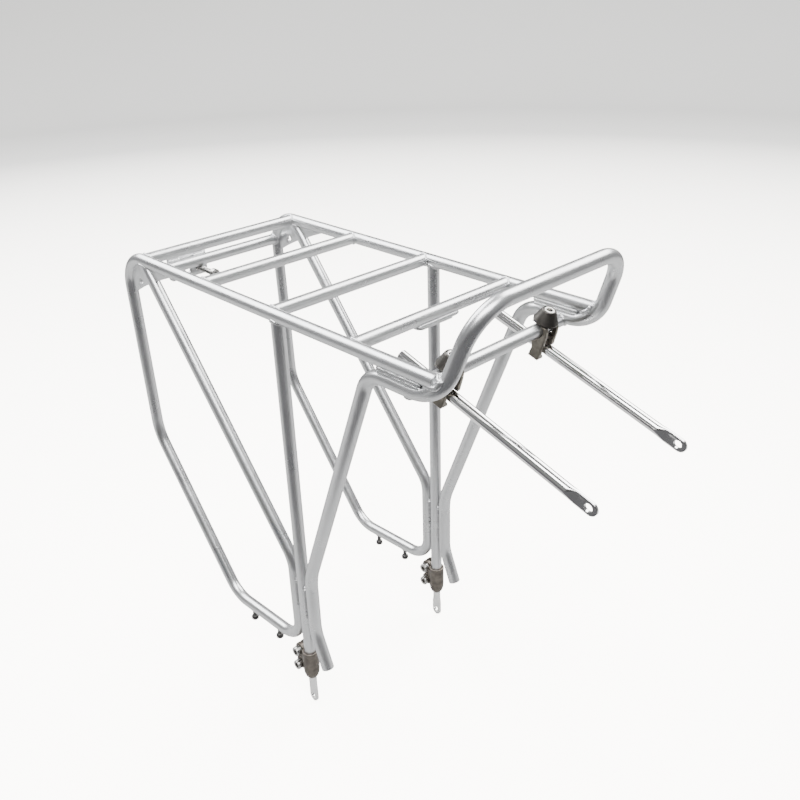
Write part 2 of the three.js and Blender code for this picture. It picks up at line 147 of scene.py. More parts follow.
def drilled(obj, cutters):
    """Cuts the cutters out of an object by an exact boolean."""
    tool = join(cutters, "drill")
    holes = obj.modifiers.new("holes", "BOOLEAN")
    holes.operation = "DIFFERENCE"
    holes.solver = "EXACT"
    holes.use_self = True
    holes.object = tool
    applied(obj)
    bpy.data.objects.remove(tool)
    return obj


def stitched(rings, closed=False):
    """Vertices and faces of a skin over rings of equal length; a ring of one point closes an end."""
    vertices = []
    starts = []
    for ring in rings:
        starts.append(len(vertices))
        vertices.extend(ring)
    faces = []
    pairs = list(zip(range(len(rings) - 1), range(1, len(rings))))
    if closed:
        pairs.append((len(rings) - 1, 0))
    for first, second in pairs:
        a, b = starts[first], starts[second]
        count = max(len(rings[first]), len(rings[second]))
        for i in range(count):
            j = (i + 1) % count
            if len(rings[first]) == 1:
                faces.append((a, b + j, b + i))
            elif len(rings[second]) == 1:
                faces.append((a + i, a + j, b))
            else:
                faces.append((a + i, a + j, b + j, b + i))
    return vertices, faces


def circle(centre, side, up, radius, count):
    return [centre + side * (radius * math.cos(TAU * i / count)) + up * (radius * math.sin(TAU * i / count))
            for i in range(count)]


def square_to(axis):
    """Two unit vectors square to an axis."""
    helper = Vector((0, 1, 0)) if abs(axis.y) < 0.9 else Vector((0, 0, 1))
    side = axis.cross(helper).normalized()
    return side, axis.cross(side).normalized()


def turned(name, base, axis, profile, count=48, hexagon_from=None):
    """A turned piece: profile is (height, radius) pairs from base along axis.

    From index hexagon_from on, rings are hexagons: an Allen socket cut into the top.
    """
    axis = axis.normalized()
    side, up = square_to(axis)
    rings = []
    for index, (height, radius) in enumerate(profile):
        centre = base + axis * height
        if radius == 0:
            rings.append([centre])
        elif hexagon_from is not None and index >= hexagon_from:
            rings.append(hexagon(centre, side, up, radius, count))
        else:
            rings.append(circle(centre, side, up, radius, count))
    return new_object(name, *stitched(rings))


def hexagon(centre, side, up, across, count):
    """A hexagon of half-width across, as a ring of count points."""
    ring = []
    for i in range(count):
        angle = TAU * i / count
        reach = across / math.cos((angle + math.pi / 6) % (math.pi / 3) - math.pi / 6)
        ring.append(centre + side * (reach * math.cos(angle)) + up * (reach * math.sin(angle)))
    return ring


# ---------------------------------------------------------------- bent tubes

BEND_STEP = math.radians(4)


def rounded_path(corners, bend_radii):
    """Points and tangents along straight runs whose corners are rounded to the bend radii."""
    corners = [Vector(c) for c in corners]
    path = [(corners[0], (corners[1] - corners[0]).normalized())]
    for i, radius in enumerate(bend_radii, start=1):
        into = (corners[i] - corners[i - 1]).normalized()
        out = (corners[i + 1] - corners[i]).normalized()
        turn = into.angle(out)
        start = corners[i] - into * (radius * math.tan(turn / 2))
        side = (out - into * out.dot(into)).normalized()
        steps = max(3, math.ceil(turn / BEND_STEP))
        for k in range(steps + 1):
            angle = turn * k / steps
            point = start + into * (radius * math.sin(angle)) + side * (radius * (1 - math.cos(angle)))
            path.append((point, (into * math.cos(angle) + side * math.sin(angle)).normalized()))
    path.append((corners[-1], (corners[-1] - corners[-2]).normalized()))
    return path


def tube(name, path, radius, count=40, open_start=False, open_end=False):
    """A tube along a path. An open end shows the tube's wall and the dark bore inside it."""
    wall = 1.0
    chamfer = 0.25
    depth = 14
    side = square_to(path[0][1])[0]
    rings = []
    for point, tangent in path:
        side = (side - tangent * side.dot(tangent)).normalized()
        rings.append(circle(point, side, tangent.cross(side), radius, count))

    def end_rings(point, inward, ring, is_open):
        def scaled(shift, new_radius):
            return [point + inward * shift + (v - point) * (new_radius / radius) for v in ring]
        if not is_open:
            return [[point.copy()], scaled(0, radius - chamfer)]
        return [[point + inward * depth], scaled(depth, radius - wall),
                scaled(0.2, radius - wall), scaled(0, radius - wall + 0.15), scaled(0, radius - chamfer)]

    first, last = path[0], path[-1]
    head = end_rings(first[0], first[1], rings[0], open_start)
    tail = end_rings(last[0], -last[1], rings[-1], open_end)
    rings[0] = [v + first[1] * chamfer for v in rings[0]]
    rings[-1] = [v - last[1] * chamfer for v in rings[-1]]
    return new_object(name, *stitched(head + rings + tail[::-1]))


def straight(start, end):
    """The path of a straight tube."""
    start, end = Vector(start), Vector(end)
    direction = (end - start).normalized()
    return [(start, direction), (end, direction)]


# The side loop's corners, as (x, z), with the bend radius at each inner corner.
LOOP_CORNERS = [(152, DECK), (-210, DECK), (-205.8, 186), (-104.7, 51.6),
                (-10.7, 55.7), (-10.7, 142), (-181.2, DECK)]
LOOP_RADII = [28, 40, 28, 24, 28]

# The right half of the hoop tube's corners, with the bend radii.
HOOP_CORNERS = [(23.4, -HALF_WIDTH, 46.7), (10.95, -HALF_WIDTH, 79.3), (10.95, -HALF_WIDTH, 135.3),
                (93.3, -HALF_WIDTH, 345), (154.5, -HALF_WIDTH, 345), (177, -70.4, 407)]
HOOP_RADII = [40, 60, 21, 32, 28]

# Sheet thickness of the gussets, and half the width of the tie strips.
GUSSET_THICKNESS = 2.6
TIE_HALF_WIDTH = 2.6

# Clearance hole for an M5 screw.
SCREW_HOLE_R = 2.75

# Vent holes on top of the rails, and how deep they are drilled below the skin.
VENT_R = 0.9
VENT_XS = (-133, 45)
VENT_DEPTH = 2.5


def loop_path(y):
    return rounded_path([(x, y, z) for x, z in LOOP_CORNERS], LOOP_RADII)


def hoop_path():
    mirrored = [(x, -y, z) for x, y, z in reversed(HOOP_CORNERS)]
    return rounded_path(HOOP_CORNERS + mirrored, HOOP_RADII + HOOP_RADII[::-1])


# ---------------------------------------------------------------- welds

# Ripples along a bead: their pitch, and how much they and slower lumps change its radius.
WELD_PITCH = 1.5
WELD_RIPPLE = 0.09
WELD_LUMP = 0.16
WELD_STEP = 0.45

# A seam is found by moving along the tube in steps until it meets the other tube.
SEAM_STEP = 0.5
SEAM_STEPS = 52

# A slat is drawn this much thinner than its tube, so that their skins don't coincide.
SLAT_SHRINK = 0.05


def distance_to_path(point, path):
    """The shortest distance from a point to a path's middle line."""
    best = 1e9
    for (a, _), (b, _) in zip(path, path[1:]):
        along = b - a
        t = min(1, max(0, (point - a).dot(along) / max(along.length_squared, 1e-9)))
        best = min(best, (point - a - along * t).length)
    return best


def near_part(path, point, reach=45):
    """The stretch of a path near a point, so that distances are quick to find."""
    keep = [i for i, (p, _) in enumerate(path) if (p - point).length < reach]
    if not keep:
        segments = range(len(path) - 1)
        nearest = min(segments, key=lambda i: distance_to_path(point, path[i:i + 2]))
        return path[nearest:nearest + 2]
    return path[max(0, keep[0] - 1):keep[-1] + 2]


def seam(start, direction, radius, other, other_radius, count=56):
    """The closed curve where a straight tube meets another tube's skin."""
    direction = Vector(direction).normalized()
    start = Vector(start)
    side, up = square_to(direction)
    other = near_part(other, start + direction * 12)
    curve = []
    for i in range(count):
        angle = TAU * i / count
        origin = start + side * (radius * math.cos(angle)) + up * (radius * math.sin(angle))
        best, nearest = 0.0, 1e9
        for step in range(SEAM_STEPS):
            travelled = step * SEAM_STEP
            gap = distance_to_path(origin + direction * travelled, other) - other_radius
            if gap < nearest:
                best, nearest = travelled, gap
            if gap < 0:
                break
        curve.append(origin + direction * best)
    return smoothed(curve, 3)


def smoothed(curve, rounds):
    """A closed curve with its kinks averaged out."""
    count = len(curve)
    for _ in range(rounds):
        curve = [(curve[i - 1] + curve[i] * 2 + curve[(i + 1) % count]) / 4 for i in range(count)]
    return curve


def bead(name, curve, radius, closed=True, seed=0.0):
    """A weld bead along a curve, with the ripples of a hand-laid bead."""
    dense = resampled(curve, WELD_STEP, closed)
    count = len(dense)
    rings = []
    travelled = 0.0
    for i, point in enumerate(dense):
        before = dense[i - 1] if closed or i else point
        after = dense[(i + 1) % count] if closed or i + 1 < count else point
        tangent = (after - before).normalized()
        travelled += WELD_STEP
        ripple = WELD_RIPPLE * math.sin(TAU * travelled / WELD_PITCH)
        lump = WELD_LUMP * noise.noise(point * 0.35 + Vector((seed, seed, seed)))
        size = radius * (1 + ripple + lump)
        if not closed:
            size *= math.sqrt(max(0.03, min(1, i / 5) * min(1, (count - 1 - i) / 5)))
        side, up = square_to(tangent)
        rings.append(circle(point, side, up, size, 12))
    if not closed:
        rings = [[dense[0]]] + rings + [[dense[-1]]]
    return new_object(name, *stitched(rings, closed))


def resampled(curve, step, closed):
    """Points spaced evenly along a curve, about a step apart."""
    points = list(curve) + ([curve[0]] if closed else [])
    lengths = [0.0]
    for a, b in zip(points, points[1:]):
        lengths.append(lengths[-1] + (b - a).length)
    count = max(8, round(lengths[-1] / step))
    result = []
    k = 0
    for i in range(count if closed else count + 1):
        target = lengths[-1] * i / count
        while k < len(lengths) - 2 and lengths[k + 1] < target:
            k += 1
        span = max(lengths[k + 1] - lengths[k], 1e-9)
        result.append(points[k].lerp(points[k + 1], (target - lengths[k]) / span))
    return result


# ---------------------------------------------------------------- castings

def block(low, high):
    xs, ys, zs = zip(low, high)
    corners = [Vector((x, y, z)) for x in xs for y in ys for z in zs]
    faces = [(0, 1, 3, 2), (4, 6, 7, 5), (0, 4, 5, 1), (2, 3, 7, 6), (0, 2, 6, 4), (1, 5, 7, 3)]
    return new_object("block", corners, faces)


def rod(start, end, radius, count=40):
    start, end = Vector(start), Vector(end)
    length = (end - start).length
    return turned("rod", start, end - start, [(0, 0), (0, radius), (length, radius), (length, 0)], count)


def prism(outline, low_y, high_y):
    """A plate whose outline is in X and Z, between two heights of Y."""
    near = [Vector((x, low_y, z)) for x, z in outline]
    far = [Vector((x, high_y, z)) for x, z in outline]
    count = len(outline)
    faces = [tuple(range(count)), tuple(range(2 * count - 1, count - 1, -1))]
    faces += [(i, i + count, (i + 1) % count + count, (i + 1) % count) for i in range(count)]
    return new_object("prism", near + far, faces)


def casting(name, solids, cutters, voxel, smoothing):
    """Solids joined and cut, then remeshed and smoothed so that every edge is soft, as cast."""
    body = join(solids, name)
    body.modifiers.new("merge", "REMESH").mode = "VOXEL"
    body.modifiers["merge"].voxel_size = voxel * MM
    applied(body)
    drilled(body, cutters)
    again = body.modifiers.new("even", "REMESH")
    again.mode = "VOXEL"
    again.voxel_size = voxel * MM
    soften = body.modifiers.new("soften", "SMOOTH")
    soften.factor = 0.5
    soften.iterations = smoothing
    return applied(body)


def placed(obj, matrix):
    """Moves a piece's mesh by a matrix whose shift is in millimetres."""
    shift = Matrix.Translation(matrix.translation * MM)
    obj.data.transform(shift @ matrix.to_3x3().to_4x4())
    return obj


# ---------------------------------------------------------------- materials


def principled(name, color, metallic, roughness):
    material = bpy.data.materials.new(name)
    material.use_nodes = True
    tree = material.node_tree
    shader = tree.nodes["Principled BSDF"]
    shader.inputs["Base Color"].default_value = (*color, 1)
    shader.inputs["Metallic"].default_value = metallic
    shader.inputs["Roughness"].default_value = roughness
    return material, tree, shader


def noise_node(tree, scale, detail=3.0, stretch=(1, 1, 1)):
    coordinates = tree.nodes.new("ShaderNodeTexCoord")
    mapping = tree.nodes.new("ShaderNodeMapping")
    mapping.inputs["Scale"].default_value = stretch
    texture = tree.nodes.new("ShaderNodeTexNoise")
    texture.inputs["Scale"].default_value = scale
    texture.inputs["Detail"].default_value = detail
    tree.links.new(coordinates.outputs["Object"], mapping.inputs["Vector"])
    tree.links.new(mapping.outputs["Vector"], texture.inputs["Vector"])
    return texture


def ranged(tree, socket, low, high, from_low=0.3, from_high=0.7):
    node = tree.nodes.new("ShaderNodeMapRange")
    node.inputs["From Min"].default_value = from_low
    node.inputs["From Max"].default_value = from_high
    node.inputs["To Min"].default_value = low
    node.inputs["To Max"].default_value = high
    tree.links.new(socket, node.inputs["Value"])
    return node.outputs["Result"]


def tinted(tree, socket, dark, light, from_low=0.3, from_high=0.7):
    mix = tree.nodes.new("ShaderNodeMix")
    mix.data_type = "RGBA"
    mix.inputs["A"].default_value = (*dark, 1)
    mix.inputs["B"].default_value = (*light, 1)
    tree.links.new(ranged(tree, socket, 0, 1, from_low, from_high), mix.inputs["Factor"])
    return mix.outputs["Result"]


def bumped(tree, shader, socket, strength, distance):
    bump = tree.nodes.new("ShaderNodeBump")
    bump.inputs["Strength"].default_value = strength
    bump.inputs["Distance"].default_value = distance * MM
    tree.links.new(socket, bump.inputs["Height"])
    tree.links.new(bump.outputs["Normal"], shader.inputs["Normal"])


def silver_paint():
    """Satin metallic paint: fine flake, faint orange peel and hand-rubbed patches."""
    material, tree, shader = principled("silver_paint", (0.62, 0.625, 0.63), 0.92, 0.3)
    flake = noise_node(tree, 2600, 2)
    patches = noise_node(tree, 45, 4)
    peel = noise_node(tree, 420, 2)
    color = tinted(tree, flake.outputs["Fac"], (0.57, 0.575, 0.58), (0.67, 0.675, 0.68))
    tree.links.new(color, shader.inputs["Base Color"])
    tree.links.new(ranged(tree, patches.outputs["Fac"], 0.25, 0.35), shader.inputs["Roughness"])
    bumped(tree, shader, peel.outputs["Fac"], 0.06, 0.03)
    shader.inputs["Coat Weight"].default_value = 0.15
    shader.inputs["Coat Roughness"].default_value = 0.2
    return material


def polished_stainless():
    """Polished rod: near mirror, with faint buffing marks and smears."""
    material, tree, shader = principled("polished_stainless", (0.86, 0.855, 0.845), 1, 0.08)
    smears = noise_node(tree, 60, 4)
    grain = noise_node(tree, 900, 2, (0.15, 1, 1))
    color = tinted(tree, smears.outputs["Fac"], (0.80, 0.795, 0.785), (0.90, 0.895, 0.885))
    tree.links.new(color, shader.inputs["Base Color"])
    tree.links.new(ranged(tree, smears.outputs["Fac"], 0.05, 0.13), shader.inputs["Roughness"])
    bumped(tree, shader, grain.outputs["Fac"], 0.08, 0.02)
    return material


def cast_metal(name, dark, light, roughness):
    """Sand-cast and tumbled: pitted skin, warm brown-grey, brighter where it is rubbed."""
    material, tree, shader = principled(name, light, 0.85, roughness)
    cloud = noise_node(tree, 160, 5)
    pits = noise_node(tree, 1500, 4)
    tree.links.new(tinted(tree, cloud.outputs["Fac"], dark, light), shader.inputs["Base Color"])
    wear = ranged(tree, pits.outputs["Fac"], roughness - 0.1, roughness + 0.12)
    tree.links.new(wear, shader.inputs["Roughness"])
    bumped(tree, shader, pits.outputs["Fac"], 0.5, 0.08)
    return material


def screw_steel():
    """Stainless screws: bright, faintly turned, darker in the sockets by their own shade."""
    material, tree, shader = principled("screw_steel", (0.55, 0.54, 0.52), 1, 0.24)
    cloud = noise_node(tree, 300, 4)
    color = tinted(tree, cloud.outputs["Fac"], (0.3, 0.295, 0.285), (0.52, 0.51, 0.49))
    tree.links.new(color, shader.inputs["Base Color"])
    tree.links.new(ranged(tree, cloud.outputs["Fac"], 0.17, 0.32), shader.inputs["Roughness"])
    bumped(tree, shader, cloud.outputs["Fac"], 0.15, 0.03)
    return material


PAINT = silver_paint()
STAINLESS = polished_stainless()
CAST = cast_metal("warm_cast_steel", (0.095, 0.084, 0.073), (0.19, 0.168, 0.147), 0.42)
FORK_CAST = cast_metal("light_cast_steel", (0.16, 0.147, 0.125), (0.3, 0.277, 0.235), 0.36)
DARK_CAST = cast_metal("dark_cast_steel", (0.04, 0.037, 0.034), (0.085, 0.08, 0.073), 0.38)
SCREW = screw_steel()
PEG = cast_metal("dark_peg_steel", (0.05, 0.05, 0.05), (0.13, 0.125, 0.12), 0.35)

# ---------------------------------------------------------------- welded frame


def painted(obj, *replaced):
    return finish_mesh(obj, PAINT, "frame", replaced)


def make_tubes():
    vent_floor = DECK + TUBE_R - VENT_DEPTH
    for side, sign in SIDES.items():
        y = sign * HALF_WIDTH
        vents = [rod((x, y, vent_floor), (x, y, DECK + TUBE_R + 2), VENT_R, 20) for x in VENT_XS]
        painted(drilled(tube(f"loop_tube_{side}", loop_path(y), TUBE_R), vents), f"side_loop_{side}")
        leg = straight((0, y, LEG_LOW), (0, y, DECK))
        painted(tube(f"leg_tube_{side}", leg, TUBE_R), f"main_leg_{side}")
    painted(tube("hoop", hoop_path(), HOOP_R, 44, True, True), "hoop_tube")
    reach = HALF_WIDTH - 1
    for name, x in zip(("rear", "second", "third", "front"), CROSSBARS):
        path = straight((x, -reach, DECK), (x, reach, DECK))
        painted(tube(f"slat_{name}", path, TUBE_R - SLAT_SHRINK), f"crossbar_{name}")
    for name, place in (("rear_lower_tube", REAR_LOWER), ("front_lower_tube", FRONT_LOWER)):
        path = straight((place.x, -reach, place.z), (place.x, reach, place.z))
        painted(tube(f"{name}_smooth", path, TUBE_R - SLAT_SHRINK), name)


def weld_frame():
    beads = []

    def ring(start, direction, other, other_radius, radius=TUBE_R, size=1.05):
        curve = seam(start, direction, radius - 0.3, other, other_radius + 0.3)
        beads.append(bead("bead", curve, size, True, len(beads) * 3.7))

    hoop_line = hoop_path()
    for sign in SIDES.values():
        y = sign * HALF_WIDTH
        loop = loop_path(y)
        inner = y - sign * 14
        for x in CROSSBARS:
            ring((x, inner, DECK), (0, sign, 0), loop[:40], TUBE_R)
        ring((REAR_LOWER.x, inner, REAR_LOWER.z), (0, sign, 0), loop, TUBE_R)
        ring((FRONT_LOWER.x, inner, FRONT_LOWER.z), (0, sign, 0), hoop_line, HOOP_R)
        rail = straight((150, y, DECK), (-206, y, DECK))
        ring((0, y, DECK - 16), (0, 0, 1), rail, TUBE_R, size=1.2)
        down = Vector((LOOP_CORNERS[-1][0] - LOOP_CORNERS[-2][0], 0, DECK - LOOP_CORNERS[-2][1])).normalized()
        top = Vector((LOOP_CORNERS[-1][0], y, DECK))
        ring(top - down * 20, down, rail, TUBE_R, size=1.2)
        ring((136, y, DECK), (1, 0, 0), hoop_line, HOOP_R, size=1.7)
    painted(join(beads, "weld_rings"))


def weld_strip(name, xy, z_low, z_high, half_gap, thickness):
    """Weld that fills the groove between two upright tubes, proud and rippled."""
    pieces = []
    x, y = xy
    for face in (-1, 1):
        curve = [Vector((x, y + face * thickness, z_low + (z_high - z_low) * i / 20)) for i in range(21)]
        pieces.append(bead(name, curve, half_gap, False, x + face))
    reach = half_gap * 0.7
    core = block((x - reach, y - thickness, z_low + 1), (x + reach, y + thickness, z_high - 1))
    return join([*pieces, core], name)


def weld_legs():
    """Groove welds that tie each leg to the loop behind it and the hoop tube in front of it."""
    for side, sign in SIDES.items():
        y = sign * HALF_WIDTH
        rear_gap = LOOP_CORNERS[-2][0] / 2
        front_gap = HOOP_CORNERS[1][0] / 2
        painted(weld_strip(f"leg_weld_rear_{side}", (rear_gap, y), 98, 128, 1.9, 3.0))
        painted(weld_strip(f"leg_weld_front_{side}", (front_gap, y), 90, 125, 1.9, 3.0))


def tie_strips():
    """Weld metal between the rail and the hoop tube under it."""
    for side, sign in SIDES.items():
        y = sign * HALF_WIDTH
        low, high = node_box(f"tie_strip_{side}")
        z = (low.z + high.z) / 2
        run = high.x + 8 - low.x
        pieces = [block((low.x, y - TIE_HALF_WIDTH, z - 2.4), (high.x, y + TIE_HALF_WIDTH, z + 2.4))]
        for face in (-1, 1):
            for shift, size in ((-1.3, 1.5), (1.3, 1.6)):
                skin = y + face * TIE_HALF_WIDTH
                curve = [Vector((low.x + run * i / 30, skin, z + shift)) for i in range(31)]
                pieces.append(bead("bead", curve, size, False, z + shift * 7 + face))
        painted(join(pieces, f"tie_weld_{side}"), f"tie_strip_{side}")


def flat_plate(name, outline, holes, thickness, place, edge=0.35):
    """A sheet part with rounded edges: outline and holes are in the plate's own plane."""
    curve = bpy.data.curves.new(name, "CURVE")
    curve.dimensions = "2D"
    curve.fill_mode = "BOTH"
    curve.extrude = (thickness / 2 - edge) * MM
    curve.bevel_depth = edge * MM
    curve.bevel_resolution = 2
    curve.offset = -edge * MM
    for ring in [outline, *holes]:
        spline = curve.splines.new("POLY")
        spline.points.add(len(ring) - 1)
        for point, (a, b) in zip(spline.points, ring):
            point.co = (a * MM, b * MM, 0, 1)
        spline.use_cyclic_u = True
    shape = bpy.data.objects.new(name, curve)
    bpy.context.scene.collection.objects.link(shape)
    graph = bpy.context.evaluated_depsgraph_get()
    mesh = bpy.data.meshes.new_from_object(shape.evaluated_get(graph))
    bpy.data.objects.remove(shape)
    mesh.transform(place)
    plate = bpy.data.objects.new(name, mesh)
    bpy.context.scene.collection.objects.link(plate)
    work = bmesh.new()
    work.from_mesh(mesh)
    bmesh.ops.remove_doubles(work, verts=work.verts, dist=2e-6)
    work.to_mesh(mesh)
    work.free()
    return plate


def ring2d(a, b, radius, count=28):
    angles = [TAU * i / count for i in range(count)]
    return [(a + radius * math.cos(angle), b + radius * math.sin(angle)) for angle in angles]


def rounded2d(low_a, low_b, high_a, high_b, radius, steps=6):
    """A rectangle with round corners."""
    points = []
    for a, b, start in ((high_a - radius, high_b - radius, 0), (low_a + radius, high_b - radius, 90),
                        (low_a + radius, low_b + radius, 180), (high_a - radius, low_b + radius, 270)):
        for i in range(steps + 1):
            angle = math.radians(start + 90 * i / steps)
            points.append((a + radius * math.cos(angle), b + radius * math.sin(angle)))
    return points


def curved2d(start, control, end, steps=10):
    """A parabola from start to end, pulled towards the control point."""
    start, control, end = Vector(start), Vector(control), Vector(end)
    points = []
    for i in range(steps + 1):
        t = i / steps
        points.append(tuple(start * (1 - t) ** 2 + control * (2 * t * (1 - t)) + end * t ** 2))
    return points


# A plate drawn flat is stood up across Y, or across X.
UPRIGHT_X = Matrix(((1, 0, 0, 0), (0, 0, 1, 0), (0, 1, 0, 0), (0, 0, 0, 1)))
UPRIGHT_Y = Matrix(((0, 0, 1, 0), (1, 0, 0, 0), (0, 1, 0, 0), (0, 0, 0, 1)))


def make_gussets():
    """Sheet gussets in the rear top corners, either side of the diagonal."""
    for side, sign in SIDES.items():
        y = sign * HALF_WIDTH
        place = Matrix.Translation((0, y * MM, 0)) @ UPRIGHT_X
        rear = curved2d((-205, 323.2), (-186, 334.5), (-169.5, 340.5))
        rear += [(-181.2, DECK), (-200, DECK - 2), (-207, 345)]
        holes = [ring2d(-188.2, 338, 2.7)]
        plate = flat_plate(f"gusset_rear_{side}", rear, holes, GUSSET_THICKNESS, place)
        painted(plate, f"rear_gusset_{side}")
        front = curved2d((-169.5, 340.5), (-152, 348), (-137, 353))
        front += [(-137, DECK), (-181.2, DECK)]
        plate = flat_plate(f"gusset_front_{side}", front, [], GUSSET_THICKNESS, place)
        painted(plate, f"front_gusset_{side}")


def make_brackets():
    low, high = node_box("light_plate")
    thickness = high.x - low.x
    bolt = middle("light_bolt")
    place = Matrix.Translation(((low.x + high.x) / 2 * MM, 0, 0)) @ UPRIGHT_Y
    holes = [ring2d(bolt.y - shift, bolt.z, SCREW_HOLE_R) for shift in (0, 11, 22)]
    outline = rounded2d(low.y, low.z, high.y, high.z, 4)
    plate = flat_plate("rear_light_plate", outline, holes, thickness, place)
    pieces = [plate]
    for shift in (-13, 12):
        y = (low.y + high.y) / 2 + shift
        curve = [Vector((high.x + 0.6, y - 6 + 12 * i / 12, REAR_LOWER.z + 4.2)) for i in range(13)]
        pieces.append(bead("bead", curve, 1.4, False, y))
        pieces.append(bead("bead", [v - Vector((0, 0, 8.4)) for v in curve], 1.4, False, y + 5))
    painted(join(pieces, "rear_light_plate"), "light_plate")

    low, high = node_box("fender_tab")
    place = Matrix.Translation((0, 0, (low.z + high.z) / 2 * MM))
    outline = rounded2d(low.x, low.y, high.x, high.y, 4)
    hole_x = low.x + 6.5
    holes = [ring2d(hole_x, 0, SCREW_HOLE_R)]
    tab = flat_plate("fender_bracket", outline, holes, high.z - low.z, place)
    pieces = [tab]
    for shift in (-1, 1):
        curve = [Vector((CROSSBARS[3] + shift * 3.6, -20 + 40 * i / 30, high.z + 0.9)) for i in range(31)]
        pieces.append(bead("bead", curve, 1.5, False, shift * 9))
    painted(join(pieces, "fender_bracket"), "fender_tab")


# ---------------------------------------------------------------- screws and pegs


def screw(name, seat, axis, head_radius, head_height, shank_radius, shank_length, thread_pitch=0.8):
    """A socket-head screw: axis points out of the head, seat is under the head."""
    tip = -shank_length
    profile = [(tip, 0), (tip, shank_radius - 0.7), (tip + 0.6, shank_radius - 0.35)]
    height = tip + 0.8
    while height < -1.5:
        profile += [(height, shank_radius - 0.42), (height + thread_pitch * 0.5, shank_radius)]
        height += thread_pitch
    profile += [(-0.8, shank_radius - 0.1), (0, shank_radius - 0.1), (0, head_radius - 0.15)]
    profile += [(0.15, head_radius), (head_height - 0.55, head_radius)]
    profile += [(head_height - 0.2, head_radius - 0.16)]
    profile += [(head_height, head_radius - 0.6), (head_height, head_radius * 0.66)]
    first_hexagon = len(profile)
    across = head_radius * 0.5
    profile += [(head_height - 0.25, across), (head_height * 0.42, across * 0.98), (head_height * 0.32, 0)]
    return turned(name, seat, axis, profile, 48, first_hexagon)


def make_screws():
    low, high = node_box("light_bolt")
    seat = Vector((high.x - 5, (low.y + high.y) / 2, (low.z + high.z) / 2))
    bolt = screw("light_screw", seat, Vector((1, 0, 0)), 4.25, 4.9, 2.5, high.x - 5 - low.x)
    finish_mesh(bolt, SCREW, "frame", ["light_bolt"])
    for side, sign in SIDES.items():
        for end in ("lower", "upper"):
            node = f"leg_clamp_bolt_{end}_{side}"
            low, high = node_box(node)
            seat = Vector(((low.x + high.x) / 2, low.y + 5, (low.z + high.z) / 2))
            length = high.y - low.y - 5
            bolt = screw(f"clamp_screw_{end}_{side}", seat, Vector((0, -1, 0)), 4.25, 4.9, 2.5, length)
            finish_mesh(bolt, SCREW, "frame", [node])
        for end in ("rear", "front"):
            node = f"peg_{end}_{side}"
            low, high = node_box(node)
            base = Vector(((low.x + high.x) / 2, sign * HALF_WIDTH, low.z))
            neck = high.z - low.z
            profile = [(0, 0), (0, 2.2), (0.25, 2.8), (0.9, 3.25), (2.2, 3.4), (3.4, 3.2), (4.2, 2.5),
                       (4.6, 1.8), (neck - 0.8, 1.8), (neck - 0.3, 2.4), (neck + 0.6, 3), (neck + 1, 0)]
            piece = turned(f"hook_peg_{end}_{side}", base, Vector((0, 0, 1)), profile)
            finish_mesh(piece, PEG, "frame", [node])


# ---------------------------------------------------------------- leg clamps and feet


def make_leg_clamps():
    for side, sign in SIDES.items():
        y = sign * HALF_WIDTH
        lower = middle(f"leg_clamp_bolt_lower_{side}")
        upper = middle(f"leg_clamp_bolt_upper_{side}")
        base = node_box(f"leg_clamp_{side}")[0].z
        top = base + 28.5
        ear = 4
        barrel = [(base, 0), (base, 4.4), (base + 1.6, 5.5), (base + 4.6, 6.5), (base + 9, 6.95),
                  (top - 2.6, 6.95), (top - 2.2, 7.1), (top - 0.6, 7.1), (top, 6.6), (top, 0)]
        solids = [turned("barrel", Vector((0, y, 0)), Vector((0, 0, 1)), barrel, 64)]
        for bolt in (lower, upper):
            solids.append(rod((bolt.x, y - ear, bolt.z), (bolt.x, y + ear, bolt.z), 5.9, 48))
        solids.append(block((lower.x + 1, y - ear, 30), (-3, y + ear, 51)))
        waist = (lower.z + upper.z) / 2
        cutters = [rod((0, y, LEG_LOW - 0.2), (0, y, 70), TUBE_R + 0.15, 48),
                   rod((0, y, 10), (0, y, 70), 3.75, 48),
                   block((-30, y - 0.8, 10), (-2, y + 0.8, 70)),
                   block((lower.x - 8, y - 8, waist - 0.9), (lower.x - 1.5, y + 8, waist + 0.9))]
        for bolt in (lower, upper):
            cutters.append(rod((bolt.x, y - 20, bolt.z), (bolt.x, y - ear, bolt.z), 4.5, 40))
        clamp = casting(f"leg_clamp_body_{side}", solids, cutters, 0.32, 4)
        finish_mesh(clamp, CAST, "frame", [f"leg_clamp_{side}"], 180)


